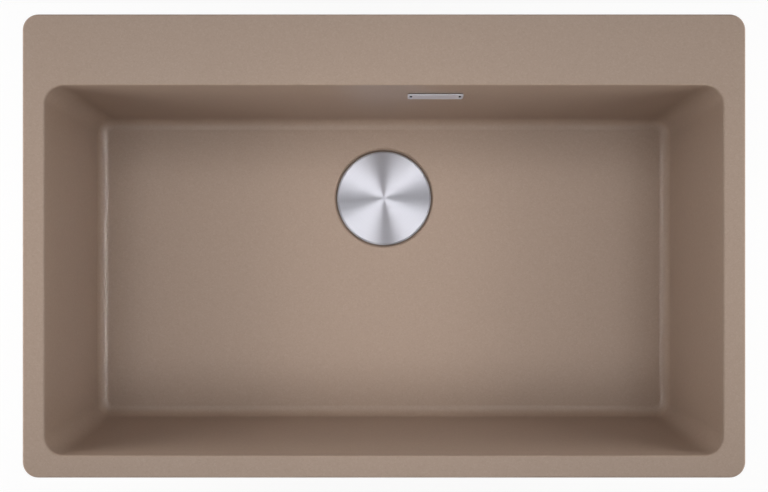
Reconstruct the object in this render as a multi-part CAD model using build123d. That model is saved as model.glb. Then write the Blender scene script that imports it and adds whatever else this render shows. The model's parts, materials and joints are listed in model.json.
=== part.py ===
from build123d import *
from math import atan2, cos, hypot, pi, radians, sin, tan
import os

# Inset kitchen sink in granite composite, with its waste, overflow and fixing clips.
# Millimetres. The origin is the middle of the rim's outline, on the worktop surface under the rim.
# +X runs to the right along the sink, +Y to the tap ledge at the back, +Z up.

# Rim
SINK_LENGTH = 780.0
SINK_WIDTH = 500.0
RIM_HEIGHT = 9.0
RIM_CORNER_RADIUS = 17.0
RIM_EDGE_RADIUS = 2.0
RIM_FOOT_RADIUS = 1.0
CUTOUT_OVERLAP = 10.0
SEAL_INSET = 3.0
SEAL_WIDTH = 4.0
SEAL_DEPTH = 2.5

# Bowl
LEDGE_WIDTH = 76.5
BOWL_DEPTH = 200.0
BOWL_CORNER_RADIUS = 21.0
BOWL_LIP_RADIUS = 2.0
WALL_DRAFT = 6.0
WALL_THICKNESS = 9.0
NECK_RADIUS = 4.0
FLOOR_FILLET = 13.0
FLOOR_CORNER_RADIUS = 5.0
FLOOR_FALL = 2.0
FLOOR_THICKNESS = 9.0
DISH_MARGIN = 3.0

# Tap ledge knock-out, drilled through from below where a tap is wanted
TAP_HOLE_DIAMETER = 35.0
TAP_SKIN = 3.0

# Waste seat in the floor
DRAIN_SETBACK = 115.5
WASTE_HOLE_DIAMETER = 90.0
SEAT_WIDTH = 14.0
FLOW_GAP = 3.0
SEAT_THICKNESS = 10.0
RECESS_CHAMFER = 1.2
PAD_MARGIN = 14.0
PAD_EDGE_RADIUS = 3.0

# Waste cup
FLANGE_MARGIN = 2.0
FLANGE_SEAL_THICKNESS = 2.0
CUP_SHEET = 1.2
CUP_HOLE_CLEARANCE = 2.0
CUP_BASE_RADIUS = 4.0
CUP_LIP_RADIUS = 2.0
PORT_COUNT = 6
PORT_DIAMETER = 12.0
PORT_CIRCLE_RADIUS = 17.0

# Waste body
BODY_SEAL_THICKNESS = 3.0
BODY_FLANGE_THICKNESS = 5.0
BODY_FLANGE_WIDTH = 9.0
BODY_WALL = 4.0
BODY_WATER_GAP = 4.0
BODY_BASE_GAP = 4.0
BODY_CONE_HEIGHT = 21.0
OUTLET_DIAMETER = 47.8
OUTLET_LENGTH = 26.0
OUTLET_WALL = 3.9
SPIDER_ARMS = 3
SPIDER_THICKNESS = 3.5
SPIDER_DEPTH = 10.0
INSERT_RADIUS = 5.0
INSERT_LENGTH = 14.0
INSERT_BOSS_WALL = 3.0
SCREW_RADIUS = 3.0
SCREW_TIP = 2.5
SCREW_TIP_ROOM = 1.0
SCREW_HEAD_RADIUS = 6.0
SCREW_HEAD_HEIGHT = 3.6
THREAD_CLEARANCE = 0.05
HOLE_CLEARANCE = 0.3
SOCKET_RADIUS = 2.2
SOCKET_DEPTH = 2.2

# Overflow in the back wall
OVERFLOW_X = 57.3
OVERFLOW_DEPTH = 54.0
PLATE_LENGTH = 62.0
PLATE_HEIGHT = 23.0
PLATE_THICKNESS = 1.2
PLATE_CORNER_RADIUS = 4.0
PLATE_EDGE_RADIUS = 0.5
SLOT_WIDTH = 2.8
SLOT_LENGTH = 13.5
SLOT_INSET = 3.7
WINDOW_MARGIN_X = 1.5
WINDOW_MARGIN_Y = 2.8
FRAME_FLANGE = 0.8
FRAME_FLANGE_INSET = 0.6
FRAME_CLEARANCE = 0.2
FRAME_WALL = 0.8
FRAME_DEPTH = 7.0
BRIDGE_WIDTH = 30.0
FRAME_SCREW_SPACING = 16.0
FRAME_SCREW_RADIUS = 1.6
FRAME_SCREW_LENGTH = 18.0
FRAME_HEAD_RADIUS = 3.0
FRAME_HEAD_HEIGHT = 2.0
FRAME_HEAD_SINK = 0.4

# Overflow housing behind the wall
REAR_SEAL_THICKNESS = 2.0
HOUSING_FLANGE = 4.0
HOUSING_FLANGE_MARGIN = 7.0
HOUSING_WALL = 2.6
HOUSING_CORNER_RADIUS = 2.0
BRIDGE_MARGIN = 2.0
SPIGOT_DROP = 22.0

# Corrugated overflow hose and its union nuts
HOSE_STANDOFF = 36.0
HOSE_BORE_RADIUS = 10.0
HOSE_ROOT_RADIUS = 11.4
HOSE_CREST_RADIUS = 13.4
HOSE_STRAIGHT = 33.0
HOSE_CUFF_LENGTH = 29.0
RIB_PITCH = 4.6
RIB_FLANK = 1.15
RIB_CREST = 1.4
SPIGOT_WALL = 4.0
SPIGOT_LENGTH = 24.0
UNION_SEAL_THICKNESS = 1.5
CUFF_FLANGE = 2.5
CUFF_FLANGE_MARGIN = 1.0
NUT_LENGTH = 20.0
NUT_LIP = 4.0
NUT_WALL = 4.2
NUT_CLEARANCE = 0.2
NUT_FLUTES = 12
INLET_CLEARANCE = 4.6
FLUTE_RADIUS = 1.6

# Strainer basket
BASKET_SHEET = 0.8
BASKET_CLEARANCE = 0.6
BASKET_RIM_WIDTH = 2.0
BASKET_TAPER = 1.5
BASKET_TOP_DROP = 6.0
BASKET_DEPTH = 27.5
BASKET_BASE_RADIUS = 5.0
BASKET_HOLE_DIAMETER = 3.6
BASKET_SIDE_COUNT = 32
BASKET_ROW_PITCH = 6.0
BASKET_BASE_RINGS = 3
BASKET_RING_PITCH = 7.0
STOPPER_MARGIN = 6.5
STOPPER_SHEET = 1.0
STOPPER_SEAL_WIDTH = 7.0
STOPPER_CLEARANCE = 0.8
STOPPER_LIP = 0.8
SPACER_LENGTH = 4.0
SPACER_RADIUS = 6.0
STEM_RADIUS = 3.0
STEM_ENGAGEMENT = 4.0
STEM_NUT_RADIUS = 5.2
STEM_NUT_HEIGHT = 3.2
KNOB_RADIUS = 9.0
KNOB_HEIGHT = 7.0
STUB_RADIUS = 5.0
STUB_HEIGHT = 4.4

# Waste cover
COVER_GAP = 3.0
COVER_SHEET = 1.2
COVER_RISE = 1.0
COVER_SKIRT = 4.0
COVER_EDGE_RADIUS = 1.6
COVER_PROUD = 0.2
COVER_SOCKET_WALL = 3.0
COVER_SOCKET_ROOF = 1.2
COVER_SOCKET_CLEARANCE = 0.4
GRIP_RING_RADIUS = 0.9
GRIP_RING_CLEARANCE = 0.1

# Fixing clips, two on each side
CLIP_SPREAD_LONG = 440.0
CLIP_SPREAD_SHORT = 210.0
POST_RADIUS = 4.5
POST_LENGTH = 22.0
POST_WIDTH = 24.0
POST_CUTOUT_CLEARANCE = 0.5
POST_CHAMFER = 1.0
CLIP_INSERT_RADIUS = 3.0
CLIP_INSERT_LENGTH = 12.0
CLIP_SCREW_RADIUS = 2.0
CLIP_SCREW_LENGTH = 48.0
CLIP_HEAD_RADIUS = 4.0
CLIP_HEAD_HEIGHT = 2.8
CLIP_RUNNING_CLEARANCE = 0.1
CLIP_WALL_CLEARANCE = 1.05
CLIP_SHEET = 2.0
CLIP_WIDTH = 10.0
CLIP_REACH = 24.0
CLIP_TIP_HEIGHT = 9.0
CLIP_BEND_RADIUS = 3.0
CLIP_TEETH = 4
CLIP_TOOTH_DEPTH = 1.6
DRIVE_SLOT_WIDTH = 1.0
DRIVE_SLOT_DEPTH = 1.2

# Overlap between pieces of one solid before they are fused, and reach of cutting tools past a face
EMBED = 1.0

# Rim width: room for the overlap on the worktop, a clip stowed beside the wall, and the wall itself
DRAFT_SLOPE = tan(radians(WALL_DRAFT))
WALL_SPAN = WALL_THICKNESS / cos(radians(WALL_DRAFT))
CLIP_HEAD_Z = -POST_LENGTH + CLIP_INSERT_LENGTH - CLIP_SCREW_LENGTH
CLIP_INSET = CUTOUT_OVERLAP + POST_CUTOUT_CLEARANCE + POST_RADIUS
CLIP_DROP = RIM_HEIGHT - CLIP_HEAD_Z - CLIP_TIP_HEIGHT
RIM_WIDTH = CLIP_INSET + CLIP_WIDTH / 2 + CLIP_WALL_CLEARANCE + WALL_SPAN - CLIP_DROP * DRAFT_SLOPE
CLIP_X = SINK_LENGTH / 2 - CLIP_INSET
CLIP_Y = SINK_WIDTH / 2 - CLIP_INSET

# Bowl heights and places
BOWL_LENGTH = SINK_LENGTH - 2 * RIM_WIDTH
BOWL_WIDTH = SINK_WIDTH - RIM_WIDTH - LEDGE_WIDTH
BOWL_BACK_Y = SINK_WIDTH / 2 - LEDGE_WIDTH
BOWL_Y = BOWL_BACK_Y - BOWL_WIDTH / 2
TAP_Y = BOWL_BACK_Y + LEDGE_WIDTH / 2
DRAIN_Y = BOWL_BACK_Y - DRAIN_SETBACK
FLOOR_Z = RIM_HEIGHT - BOWL_DEPTH
FLOOR_EDGE_Z = FLOOR_Z + FLOOR_FALL
BOTTOM_Z = FLOOR_Z - FLOOR_THICKNESS

# Waste seat, cover, cup and strainer, from the cover down
WASTE_HOLE_RADIUS = WASTE_HOLE_DIAMETER / 2
RECESS_RADIUS = WASTE_HOLE_RADIUS + SEAT_WIDTH
PAD_RADIUS = RECESS_RADIUS + PAD_MARGIN
COVER_RADIUS = RECESS_RADIUS - COVER_GAP
COVER_EDGE_Z = FLOOR_Z + COVER_PROUD
COVER_UNDER_Z = COVER_EDGE_Z + COVER_RISE - COVER_SHEET
SKIRT_END_Z = COVER_EDGE_Z - COVER_SKIRT
SOCKET_ROOF_Z = COVER_UNDER_Z - COVER_SOCKET_ROOF
SOCKET_END_Z = SOCKET_ROOF_Z - COVER_SOCKET_CLEARANCE - STUB_HEIGHT
KNOB_BASE_Z = SOCKET_END_Z - KNOB_HEIGHT
FLANGE_RADIUS = RECESS_RADIUS - FLANGE_MARGIN
FLANGE_TOP_Z = SKIRT_END_Z - FLOW_GAP
SEAT_Z = FLANGE_TOP_Z - CUP_SHEET - FLANGE_SEAL_THICKNESS
PAD_Z = SEAT_Z - SEAT_THICKNESS
CUP_OUTER_RADIUS = WASTE_HOLE_RADIUS - CUP_HOLE_CLEARANCE
CUP_INNER_RADIUS = CUP_OUTER_RADIUS - CUP_SHEET
BASKET_RIM_RADIUS = CUP_INNER_RADIUS - BASKET_CLEARANCE
BASKET_RADIUS = BASKET_RIM_RADIUS - BASKET_RIM_WIDTH
BASKET_TOP_Z = FLANGE_TOP_Z - BASKET_TOP_DROP
BASKET_BASE_Z = BASKET_TOP_Z - BASKET_DEPTH
BASKET_FLOOR_Z = BASKET_BASE_Z + BASKET_SHEET
STOPPER_TOP_Z = BASKET_BASE_Z - SPACER_LENGTH
STOPPER_Z = STOPPER_TOP_Z - STOPPER_SHEET
STOPPER_RADIUS = CUP_INNER_RADIUS - STOPPER_MARGIN
CUP_BASE_Z = STOPPER_Z - STEM_NUT_HEIGHT - STOPPER_CLEARANCE - SCREW_HEAD_HEIGHT
CUP_BOTTOM_Z = CUP_BASE_Z - CUP_SHEET

# Waste body under the bowl
BODY_TOP_Z = PAD_Z - BODY_SEAL_THICKNESS
BODY_INNER_RADIUS = CUP_OUTER_RADIUS + BODY_WATER_GAP
BODY_OUTER_RADIUS = BODY_INNER_RADIUS + BODY_WALL
BODY_FLANGE_RADIUS = BODY_OUTER_RADIUS + BODY_FLANGE_WIDTH
BODY_MID_RADIUS = (BODY_INNER_RADIUS + BODY_OUTER_RADIUS) / 2
BODY_BASE_Z = CUP_BOTTOM_Z - BODY_BASE_GAP
OUTLET_RADIUS = OUTLET_DIAMETER / 2
OUTLET_TOP_Z = BODY_BASE_Z - BODY_CONE_HEIGHT
OUTLET_END_Z = OUTLET_TOP_Z - OUTLET_LENGTH
BOSS_RADIUS = INSERT_RADIUS + INSERT_BOSS_WALL
INSERT_END_Z = BODY_BASE_Z - INSERT_LENGTH
SCREW_HOLE_END_Z = INSERT_END_Z - SCREW_TIP - SCREW_TIP_ROOM

# Overflow in the wall, and its hose down to the waste body
OVERFLOW_Z = RIM_HEIGHT - OVERFLOW_DEPTH
OVERFLOW_WALL_Y = BOWL_BACK_Y - OVERFLOW_DEPTH * DRAFT_SLOPE
WINDOW_LENGTH = PLATE_LENGTH - 2 * WINDOW_MARGIN_X
WINDOW_HEIGHT = PLATE_HEIGHT - 2 * WINDOW_MARGIN_Y
WINDOW_RADIUS = PLATE_CORNER_RADIUS - WINDOW_MARGIN_X
HOUSING_SEAT = WALL_THICKNESS + REAR_SEAL_THICKNESS
FRAME_HEAD_BASE = FRAME_HEAD_SINK + FRAME_HEAD_HEIGHT - FRAME_FLANGE
FRAME_SCREW_END = FRAME_HEAD_BASE + FRAME_SCREW_LENGTH
SPIGOT_RADIUS = HOSE_BORE_RADIUS + SPIGOT_WALL
NUT_RADIUS = SPIGOT_RADIUS + NUT_CLEARANCE + NUT_WALL
HOSE_Y = OVERFLOW_WALL_Y + WALL_SPAN + HOSE_STANDOFF
HOSE_TOP_Z = OVERFLOW_Z - WINDOW_HEIGHT / 2 - HOUSING_WALL - SPIGOT_DROP
INLET_Z = PAD_Z - INLET_CLEARANCE - NUT_RADIUS
INLET_END = BODY_OUTER_RADIUS + SPIGOT_LENGTH
HOSE_START = INLET_END + UNION_SEAL_THICKNESS
HOSE_HEADING = atan2(HOSE_Y - DRAIN_Y, OVERFLOW_X)
HOSE_BEND_RADIUS = hypot(OVERFLOW_X, HOSE_Y - DRAIN_Y) - HOSE_START - HOSE_STRAIGHT
HOSE_BEND_LENGTH = HOSE_BEND_RADIUS * pi / 2
HOSE_UPPER_STRAIGHT = HOSE_TOP_Z - UNION_SEAL_THICKNESS - INLET_Z - HOSE_BEND_RADIUS
HOSE_LENGTH = HOSE_STRAIGHT + HOSE_BEND_LENGTH + HOSE_UPPER_STRAIGHT

# Each clip: its screw's place and the heading from there out over the worktop
CLIPS = [(side * CLIP_SPREAD_LONG / 2, -CLIP_Y, -90) for side in (-1, 1)]
CLIPS += [(CLIP_X, BOWL_Y + side * CLIP_SPREAD_SHORT / 2, 0) for side in (-1, 1)]
CLIPS += [(side * CLIP_SPREAD_LONG / 2, CLIP_Y, 90) for side in (1, -1)]
CLIPS += [(-CLIP_X, BOWL_Y + side * CLIP_SPREAD_SHORT / 2, 180) for side in (1, -1)]


def tube(outer, inner, low, high):
    """Round tube on the Z axis between two heights."""
    ring = Circle(outer) - Circle(inner)
    return Pos(0, 0, low) * extrude(ring, high - low)


def rod(radius, low, high):
    """Solid round bar on the Z axis between two heights."""
    return Pos(0, 0, low) * extrude(Circle(radius), high - low)


def turned(points, radii):
    """Solid of revolution about Z from (radius, height) corners, each with its own rounding."""
    outline = FilletPolyline(*[(r, 0, z) for r, z in points], radius=radii, close=True)
    return revolve(make_face(outline), Axis.Z)


def at_drain(shape):
    return Pos(0, DRAIN_Y, 0) * shape


def bowl_outline(z, grow, corner):
    """Rounded outline of the tapering bowl at one height, grown outwards."""
    inset = (RIM_HEIGHT - z) * DRAFT_SLOPE
    length = BOWL_LENGTH - 2 * inset + 2 * grow
    width = BOWL_WIDTH - 2 * inset + 2 * grow
    return Pos(0, BOWL_Y, z) * RectangleRounded(length, width, corner)


def lowest_edges(shape):
    return shape.edges().group_by(Axis.Z)[0]


def bowl_cavity():
    """The space inside the bowl: drafted walls, rounded fold and a floor that falls to the waste."""
    corner = FLOOR_FILLET + FLOOR_CORNER_RADIUS
    top = bowl_outline(RIM_HEIGHT, 0, BOWL_CORNER_RADIUS)
    space = loft([top, bowl_outline(FLOOR_EDGE_Z, 0, corner)], ruled=True)
    space = fillet(lowest_edges(space), FLOOR_FILLET)
    dish_edge = bowl_outline(FLOOR_EDGE_Z, -FLOOR_FILLET - DISH_MARGIN, FLOOR_CORNER_RADIUS)
    dish_foot = RectangleRounded(RECESS_RADIUS, RECESS_RADIUS, FLOOR_CORNER_RADIUS)
    space += loft([dish_edge, Pos(0, DRAIN_Y, FLOOR_Z) * dish_foot], ruled=True)
    space += at_drain(rod(RECESS_RADIUS, SEAT_Z, FLOOR_EDGE_Z))
    space += at_drain(recess_chamfer())
    return space + at_drain(rod(WASTE_HOLE_RADIUS, PAD_Z - EMBED, FLOOR_Z))


def recess_chamfer():
    """Cone that breaks the floor's edge around the waste recess."""
    low = FLOOR_Z - RECESS_CHAMFER
    outer = RECESS_RADIUS + FLOOR_EDGE_Z - low
    return turned([(0, low), (RECESS_RADIUS, low), (outer, FLOOR_EDGE_Z), (0, FLOOR_EDGE_Z)], 0)


def bowl_tub():
    """Outside of the bowl below the rim, with the thicker pad around the waste hole."""
    corner = FLOOR_FILLET + FLOOR_CORNER_RADIUS + WALL_THICKNESS
    top = bowl_outline(RIM_HEIGHT / 2, WALL_SPAN, BOWL_CORNER_RADIUS + WALL_THICKNESS)
    tub = loft([top, bowl_outline(BOTTOM_Z, WALL_SPAN, corner)], ruled=True)
    tub = fillet(lowest_edges(tub), FLOOR_FILLET + WALL_THICKNESS)
    pad = rod(PAD_RADIUS, PAD_Z, BOTTOM_Z + EMBED)
    return tub + at_drain(fillet(lowest_edges(pad), PAD_EDGE_RADIUS))


def rim_slab():
    slab = extrude(RectangleRounded(SINK_LENGTH, SINK_WIDTH, RIM_CORNER_RADIUS), RIM_HEIGHT)
    slab = fillet(slab.edges().group_by(Axis.Z)[-1], RIM_EDGE_RADIUS)
    return fillet(lowest_edges(slab), RIM_FOOT_RADIUS)


def seal_ring():
    """The cord under the rim, which also cuts its own groove."""
    outer = RectangleRounded(
        SINK_LENGTH - 2 * SEAL_INSET, SINK_WIDTH - 2 * SEAL_INSET, RIM_CORNER_RADIUS - SEAL_INSET
    )
    inset = SEAL_INSET + SEAL_WIDTH
    inner = RectangleRounded(SINK_LENGTH - 2 * inset, SINK_WIDTH - 2 * inset, RIM_CORNER_RADIUS - inset)
    return extrude(outer - inner, SEAL_DEPTH)


def clip_post():
    """Post under the rim for a clip screw, widened along the wall."""
    flat = SlotOverall(POST_WIDTH, 2 * POST_RADIUS, rotation=90)
    post = Pos(0, 0, -POST_LENGTH) * extrude(flat, POST_LENGTH + EMBED)
    return chamfer(lowest_edges(post), POST_CHAMFER)


def neck_edges(shape):
    """Edges where the outer walls meet the rim's underside."""
    reach = bowl_outline(0, WALL_SPAN + EMBED, BOWL_CORNER_RADIUS).bounding_box()
    level = shape.edges().filter_by_position(Axis.Z, -EMBED / 100, EMBED / 100)
    level = level.filter_by_position(Axis.X, reach.min.X, reach.max.X)
    return level.filter_by_position(Axis.Y, reach.min.Y, reach.max.Y)


def lip_edges(shape):
    """Edges of the bowl opening on the rim's top face."""
    reach = bowl_outline(RIM_HEIGHT, EMBED, BOWL_CORNER_RADIUS).bounding_box()
    level = shape.edges().filter_by_position(Axis.Z, RIM_HEIGHT - EMBED / 100, RIM_HEIGHT + EMBED / 100)
    level = level.filter_by_position(Axis.X, reach.min.X, reach.max.X)
    return level.filter_by_position(Axis.Y, reach.min.Y, reach.max.Y)


def wall_plane(depth):
    """Plane along the back wall at the overflow, this far behind the wall's inner face."""
    draft = radians(WALL_DRAFT)
    into_bowl = Vector(0, -cos(draft), sin(draft))
    centre = Vector(OVERFLOW_X, OVERFLOW_WALL_Y, OVERFLOW_Z) - into_bowl * depth
    return Plane(centre, x_dir=(1, 0, 0), z_dir=into_bowl)


def wall_block(length, height, corner, front, back):
    """Rounded block on the overflow's axis, from one depth behind the wall's inner face to another."""
    return extrude(wall_plane(back) * RectangleRounded(length, height, corner), back - front)


def sink_bowl():
    bowl = fillet(neck_edges(rim_slab() + bowl_tub()), NECK_RADIUS)
    bowl = fillet(lip_edges(bowl - bowl_cavity()), BOWL_LIP_RADIUS)
    post = clip_post()
    bowl += [Pos(x, y, 0) * Rot(0, 0, heading) * post for x, y, heading in CLIPS]
    insert_hole = rod(CLIP_INSERT_RADIUS, -POST_LENGTH, -POST_LENGTH + CLIP_INSERT_LENGTH)
    bowl -= [Pos(x, y, 0) * insert_hole for x, y, heading in CLIPS]
    bowl -= seal_ring()
    bowl -= Pos(0, TAP_Y, 0) * rod(TAP_HOLE_DIAMETER / 2, 0, RIM_HEIGHT - TAP_SKIN)
    return bowl - wall_block(WINDOW_LENGTH, WINDOW_HEIGHT, WINDOW_RADIUS, -EMBED, WALL_THICKNESS + EMBED)


def waste_flange_seal():
    return at_drain(tube(FLANGE_RADIUS, WASTE_HOLE_RADIUS, SEAT_Z, SEAT_Z + FLANGE_SEAL_THICKNESS))


def waste_cup():
    """Pressed steel cup: flange on the seat, straight wall, flat base with a ring of flow ports."""
    under = FLANGE_TOP_Z - CUP_SHEET
    corners = [
        (SCREW_RADIUS + HOLE_CLEARANCE, CUP_BASE_Z),
        (CUP_INNER_RADIUS, CUP_BASE_Z),
        (CUP_INNER_RADIUS, FLANGE_TOP_Z),
        (FLANGE_RADIUS, FLANGE_TOP_Z),
        (FLANGE_RADIUS, under),
        (CUP_OUTER_RADIUS, under),
        (CUP_OUTER_RADIUS, CUP_BOTTOM_Z),
        (SCREW_RADIUS + HOLE_CLEARANCE, CUP_BOTTOM_Z),
    ]
    edge = CUP_SHEET / 3
    rounding = [0, CUP_BASE_RADIUS, CUP_LIP_RADIUS + CUP_SHEET, edge, edge]
    rounding += [CUP_LIP_RADIUS, CUP_BASE_RADIUS + CUP_SHEET, 0]
    cup = turned(corners, rounding)
    port = rod(PORT_DIAMETER / 2, CUP_BOTTOM_Z - EMBED, CUP_BASE_Z + EMBED)
    return at_drain(cup - PolarLocations(PORT_CIRCLE_RADIUS, PORT_COUNT) * port)


def waste_body_seal():
    return at_drain(tube(BODY_FLANGE_RADIUS, BODY_INNER_RADIUS, BODY_TOP_Z, PAD_Z))


def inlet_plane(reach):
    """Plane across the overflow inlet, this far from the waste's axis, facing out towards the hose."""
    out = Vector(cos(HOSE_HEADING), sin(HOSE_HEADING), 0)
    side = (-sin(HOSE_HEADING), cos(HOSE_HEADING), 0)
    return Plane(Vector(0, DRAIN_Y, INLET_Z) + out * reach, x_dir=side, z_dir=out)


def waste_body():
    """Moulded funnel with a spider whose blind boss carries the clamping screw, and the overflow inlet."""
    outlet_bore = OUTLET_RADIUS - OUTLET_WALL
    under = BODY_TOP_Z - BODY_FLANGE_THICKNESS
    edge = BODY_WALL / 4
    corners = [
        (BODY_INNER_RADIUS, BODY_TOP_Z),
        (BODY_FLANGE_RADIUS, BODY_TOP_Z),
        (BODY_FLANGE_RADIUS, under),
        (BODY_OUTER_RADIUS, under),
        (BODY_OUTER_RADIUS, BODY_BASE_Z),
        (OUTLET_RADIUS, OUTLET_TOP_Z),
        (OUTLET_RADIUS, OUTLET_END_Z),
        (outlet_bore, OUTLET_END_Z),
        (outlet_bore, OUTLET_TOP_Z),
        (BODY_INNER_RADIUS, BODY_BASE_Z),
    ]
    body = turned(corners, [0, edge, edge, edge, BODY_WALL, 0, edge, 0, 0, 0])
    arm = Box(BODY_MID_RADIUS, SPIDER_THICKNESS, SPIDER_DEPTH, align=(Align.MIN, Align.CENTER, Align.MAX))
    spider = PolarLocations(0, SPIDER_ARMS) * (Pos(0, 0, BODY_BASE_Z) * arm)
    funnel = turned([(0, BODY_TOP_Z), (BODY_MID_RADIUS, BODY_TOP_Z), (BODY_MID_RADIUS, BODY_BASE_Z),
                     (OUTLET_RADIUS - OUTLET_WALL / 2, OUTLET_TOP_Z), (0, OUTLET_TOP_Z)], 0)
    body += funnel & (Part() + spider)
    body += rod(BOSS_RADIUS, SCREW_HOLE_END_Z - INSERT_BOSS_WALL, BODY_BASE_Z)
    body -= rod(INSERT_RADIUS, INSERT_END_Z, BODY_BASE_Z)
    body -= rod(SCREW_RADIUS + HOLE_CLEARANCE, SCREW_HOLE_END_Z, BODY_BASE_Z)
    body = at_drain(body)
    body += extrude(inlet_plane(BODY_MID_RADIUS) * Circle(SPIGOT_RADIUS), INLET_END - BODY_MID_RADIUS)
    bore = extrude(inlet_plane(CUP_OUTER_RADIUS) * Circle(HOSE_BORE_RADIUS), INLET_END - CUP_OUTER_RADIUS)
    return body - bore


def waste_insert():
    hole = SCREW_RADIUS + THREAD_CLEARANCE
    return at_drain(tube(INSERT_RADIUS, hole, INSERT_END_Z, BODY_BASE_Z))


def waste_screw():
    """Clamping screw, its head on the cup's base and its thread in the insert."""
    tip = INSERT_END_Z - SCREW_TIP
    head_top = CUP_BASE_Z + SCREW_HEAD_HEIGHT
    head = rod(SCREW_HEAD_RADIUS, CUP_BASE_Z, head_top)
    head = fillet(head.edges().group_by(Axis.Z)[-1], SCREW_HEAD_HEIGHT / 3)
    socket = Pos(0, 0, head_top - SOCKET_DEPTH) * extrude(RegularPolygon(SOCKET_RADIUS, 6), SOCKET_DEPTH)
    return at_drain(head + rod(SCREW_RADIUS, tip, CUP_BASE_Z) - socket)


def strainer_basket():
    """Drawn basket with a rolled-out rim, side holes in rows and base holes in rings."""
    foot = BASKET_RADIUS - BASKET_TAPER
    stem_hole = STEM_RADIUS + THREAD_CLEARANCE
    corners = [
        (stem_hole, BASKET_BASE_Z),
        (foot, BASKET_BASE_Z),
        (BASKET_RADIUS, BASKET_TOP_Z - BASKET_SHEET),
        (BASKET_RIM_RADIUS, BASKET_TOP_Z - BASKET_SHEET),
        (BASKET_RIM_RADIUS, BASKET_TOP_Z),
        (BASKET_RADIUS - BASKET_SHEET, BASKET_TOP_Z),
        (foot - BASKET_SHEET, BASKET_FLOOR_Z),
        (stem_hole, BASKET_FLOOR_Z),
    ]
    edge = BASKET_SHEET / 3
    base_inner = BASKET_BASE_RADIUS - BASKET_SHEET
    basket = turned(corners, [0, BASKET_BASE_RADIUS, edge, edge, edge, edge + BASKET_SHEET, base_inner, 0])
    return at_drain(basket - basket_side_holes(foot) - basket_base_holes(foot))


def basket_side_holes(foot):
    """Rows of round holes through the basket's wall, every second row turned by half a step."""
    low = BASKET_FLOOR_Z + BASKET_BASE_RADIUS + BASKET_HOLE_DIAMETER
    rows = int((BASKET_TOP_Z - BASKET_HOLE_DIAMETER - low) / BASKET_ROW_PITCH) + 1
    step = 360 / BASKET_SIDE_COUNT
    inner = foot - BASKET_SHEET - EMBED
    pin = Pos(inner, 0, 0) * Rot(0, 90, 0) * rod(BASKET_HOLE_DIAMETER / 2, 0, BASKET_RIM_RADIUS - inner)
    holes = []
    for row in range(rows):
        turn = step / 2 * (row % 2)
        height = Pos(0, 0, low + row * BASKET_ROW_PITCH)
        holes += [height * Rot(0, 0, turn + step * k) * pin for k in range(BASKET_SIDE_COUNT)]
    return holes


def basket_base_holes(foot):
    """Rings of round holes through the basket's base."""
    pin = rod(BASKET_HOLE_DIAMETER / 2, BASKET_BASE_Z - EMBED, BASKET_FLOOR_Z + EMBED)
    holes = []
    for ring in range(BASKET_BASE_RINGS):
        radius = foot - BASKET_BASE_RADIUS - BASKET_HOLE_DIAMETER - ring * BASKET_RING_PITCH
        count = int(2 * pi * radius / BASKET_RING_PITCH)
        holes += [Rot(0, 0, 360 / count * k) * Pos(radius, 0, 0) * pin for k in range(count)]
    return holes


def strainer_stem():
    return at_drain(rod(STEM_RADIUS, STOPPER_Z - STEM_NUT_HEIGHT, KNOB_BASE_Z + STEM_ENGAGEMENT))


def strainer_knob():
    """Knob screwed on the stem, with the stub that the cover's socket fits over."""
    grip = rod(KNOB_RADIUS, KNOB_BASE_Z, SOCKET_END_Z)
    grip = fillet(grip.edges().group_by(Axis.Z)[0], KNOB_HEIGHT / 4)
    stub = rod(STUB_RADIUS, SOCKET_END_Z, SOCKET_END_Z + STUB_HEIGHT)
    stub = chamfer(stub.edges().group_by(Axis.Z)[-1], STUB_HEIGHT / 4)
    hole = rod(STEM_RADIUS + THREAD_CLEARANCE, KNOB_BASE_Z, KNOB_BASE_Z + STEM_ENGAGEMENT)
    return at_drain(grip + stub - hole)


def strainer_spacer():
    return at_drain(tube(SPACER_RADIUS, STEM_RADIUS + THREAD_CLEARANCE, STOPPER_TOP_Z, BASKET_BASE_Z))


def stopper_plate():
    return at_drain(tube(STOPPER_RADIUS, STEM_RADIUS + THREAD_CLEARANCE, STOPPER_Z, STOPPER_TOP_Z))


def stopper_seal():
    """Rubber ring under the plate, standing on the cup's base around the ports."""
    inner = STOPPER_RADIUS - STOPPER_SEAL_WIDTH
    corners = [
        (inner, STOPPER_Z),
        (STOPPER_RADIUS, STOPPER_Z),
        (STOPPER_RADIUS + STOPPER_LIP, CUP_BASE_Z),
        (inner + STOPPER_LIP, CUP_BASE_Z),
    ]
    return at_drain(turned(corners, [0, STOPPER_LIP, 0, 0]))


def strainer_nut():
    """Thin nut that holds stopper plate, spacer and basket on the stem."""
    flat = RegularPolygon(STEM_NUT_RADIUS, 6) - Circle(STEM_RADIUS + THREAD_CLEARANCE)
    return at_drain(Pos(0, 0, STOPPER_Z - STEM_NUT_HEIGHT) * extrude(flat, STEM_NUT_HEIGHT))


def cover_disc():
    """Spun disc, slightly raised to its middle, with a turned-down edge."""
    inner = COVER_RADIUS - COVER_SHEET
    corners = [
        (0, COVER_EDGE_Z + COVER_RISE),
        (COVER_RADIUS, COVER_EDGE_Z),
        (COVER_RADIUS, SKIRT_END_Z),
        (inner, SKIRT_END_Z),
        (inner, COVER_EDGE_Z - COVER_SHEET),
        (0, COVER_UNDER_Z),
    ]
    edge = COVER_SHEET / 3
    return at_drain(turned(corners, [0, COVER_EDGE_RADIUS, edge, edge, edge, 0]))


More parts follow.
